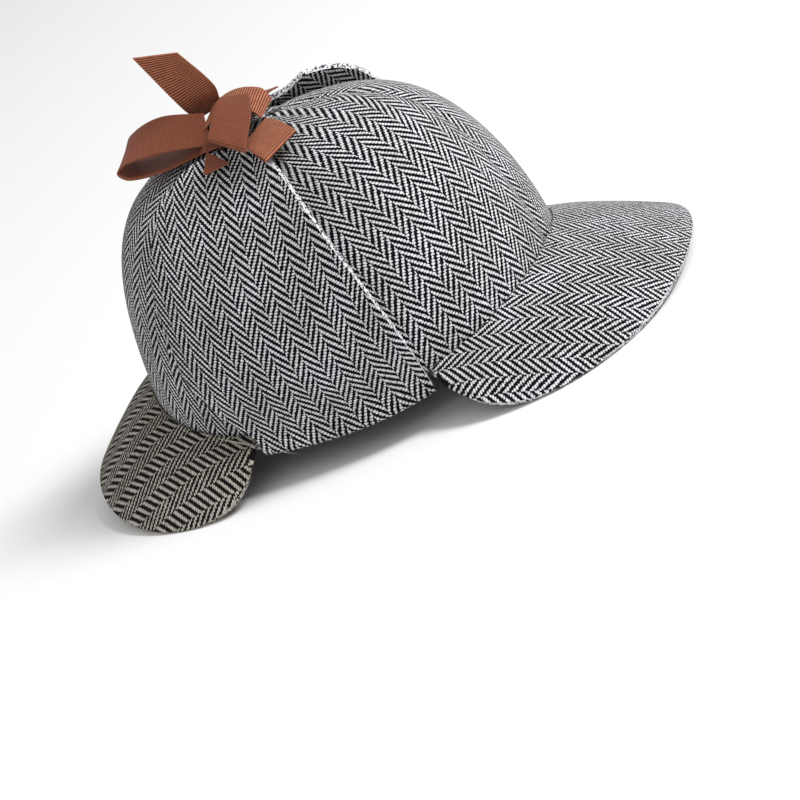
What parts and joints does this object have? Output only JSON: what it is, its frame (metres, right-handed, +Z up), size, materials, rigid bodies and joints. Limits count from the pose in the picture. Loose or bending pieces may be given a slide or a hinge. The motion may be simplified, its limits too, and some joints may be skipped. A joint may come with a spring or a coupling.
{
  "type": "deerstalker hat",
  "caption": "Soft tweed deerstalker hat with front and rear peaks and its ear flaps tied up over the crown with a ribbon bow.",
  "frame": {"origin": "on the surface that the hat rests on, under the middle of the hat's bounding box", "axes": "+Z up, the front peak towards -Y, the wearer's left towards +X"},
  "size_m": [0.2028, 0.3082, 0.1856],
  "materials": {
    "tweed": "herringbone twill, black and off-white wool, matt",
    "grosgrain": "ribbed rust-brown ribbon, slight sheen"
  },
  "bodies": {
    "root": {"crown_panel_front_right": "tweed", "crown_panel_front_left": "tweed", "crown_panel_rear_right": "tweed", "crown_panel_rear_left": "tweed", "front_peak": "tweed", "rear_peak": "tweed", "ear_flap_right": "tweed", "ear_flap_left": "tweed", "ribbon_tie_right": "grosgrain", "ribbon_tie_left": "grosgrain", "ribbon_knot": "grosgrain", "ribbon_knot_fold": "grosgrain", "ribbon_loop_left": "grosgrain", "ribbon_loop_right": "grosgrain", "ribbon_tail_long": "grosgrain", "ribbon_tail_short": "grosgrain"}
  },
  "joints": []
}
